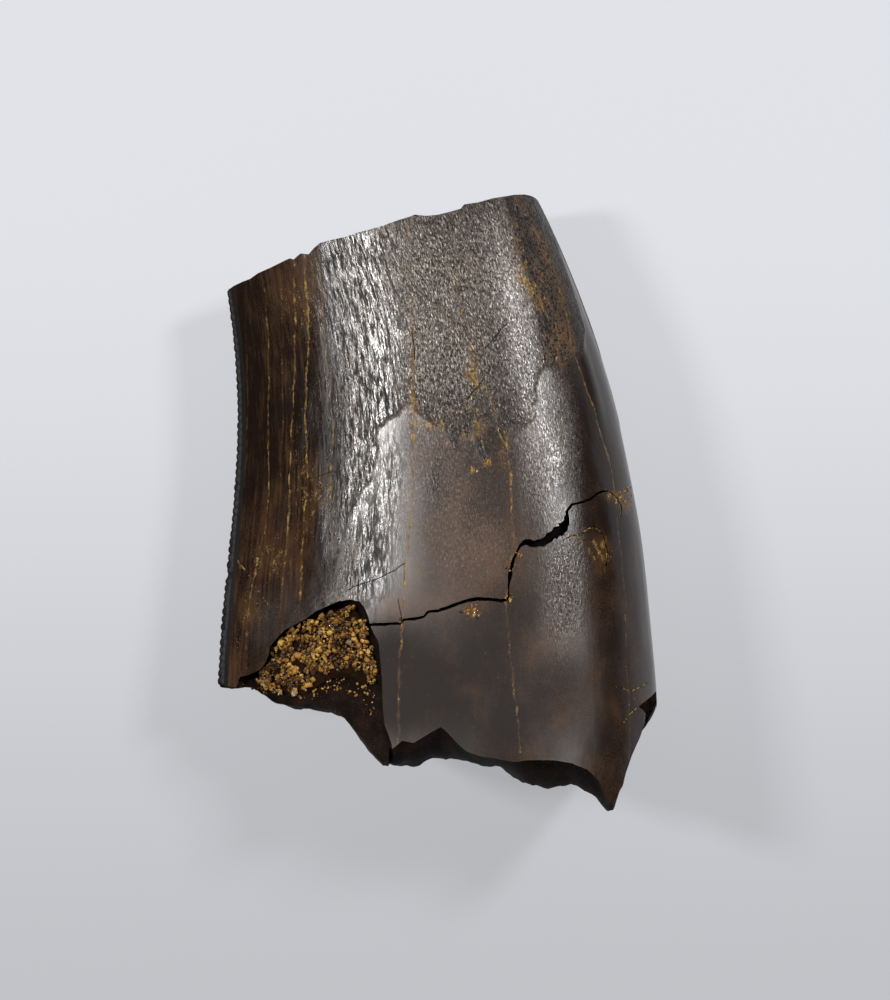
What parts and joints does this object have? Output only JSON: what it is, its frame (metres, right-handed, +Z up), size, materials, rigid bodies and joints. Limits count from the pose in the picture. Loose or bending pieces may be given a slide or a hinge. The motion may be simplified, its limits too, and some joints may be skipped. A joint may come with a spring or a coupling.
{
  "type": "fossil tyrannosaurus tooth",
  "caption": "Broken piece of a fossil tyrannosaur tooth crown, recurved, with worn denticles on its rear edge, a crack and a sand-filled chip; lies on its far face.",
  "frame": {"origin": "middle of the bounding box, on the surface that the tooth lies on", "axes": "+Z up, away from the surface; +Y along the crown towards the missing tip; +X across the crown from the toothed rear edge to the rounded front edge"},
  "size_m": [0.0202, 0.028, 0.0106],
  "materials": {
    "fossil_tooth": "dark brown fossil enamel, glossy, finely wrinkled, over dull dark dentine where broken",
    "sand": "ochre sand grains cemented together, dull"
  },
  "bodies": {
    "root": {"tooth": "fossil_tooth", "sand_matrix": "sand"}
  },
  "joints": []
}
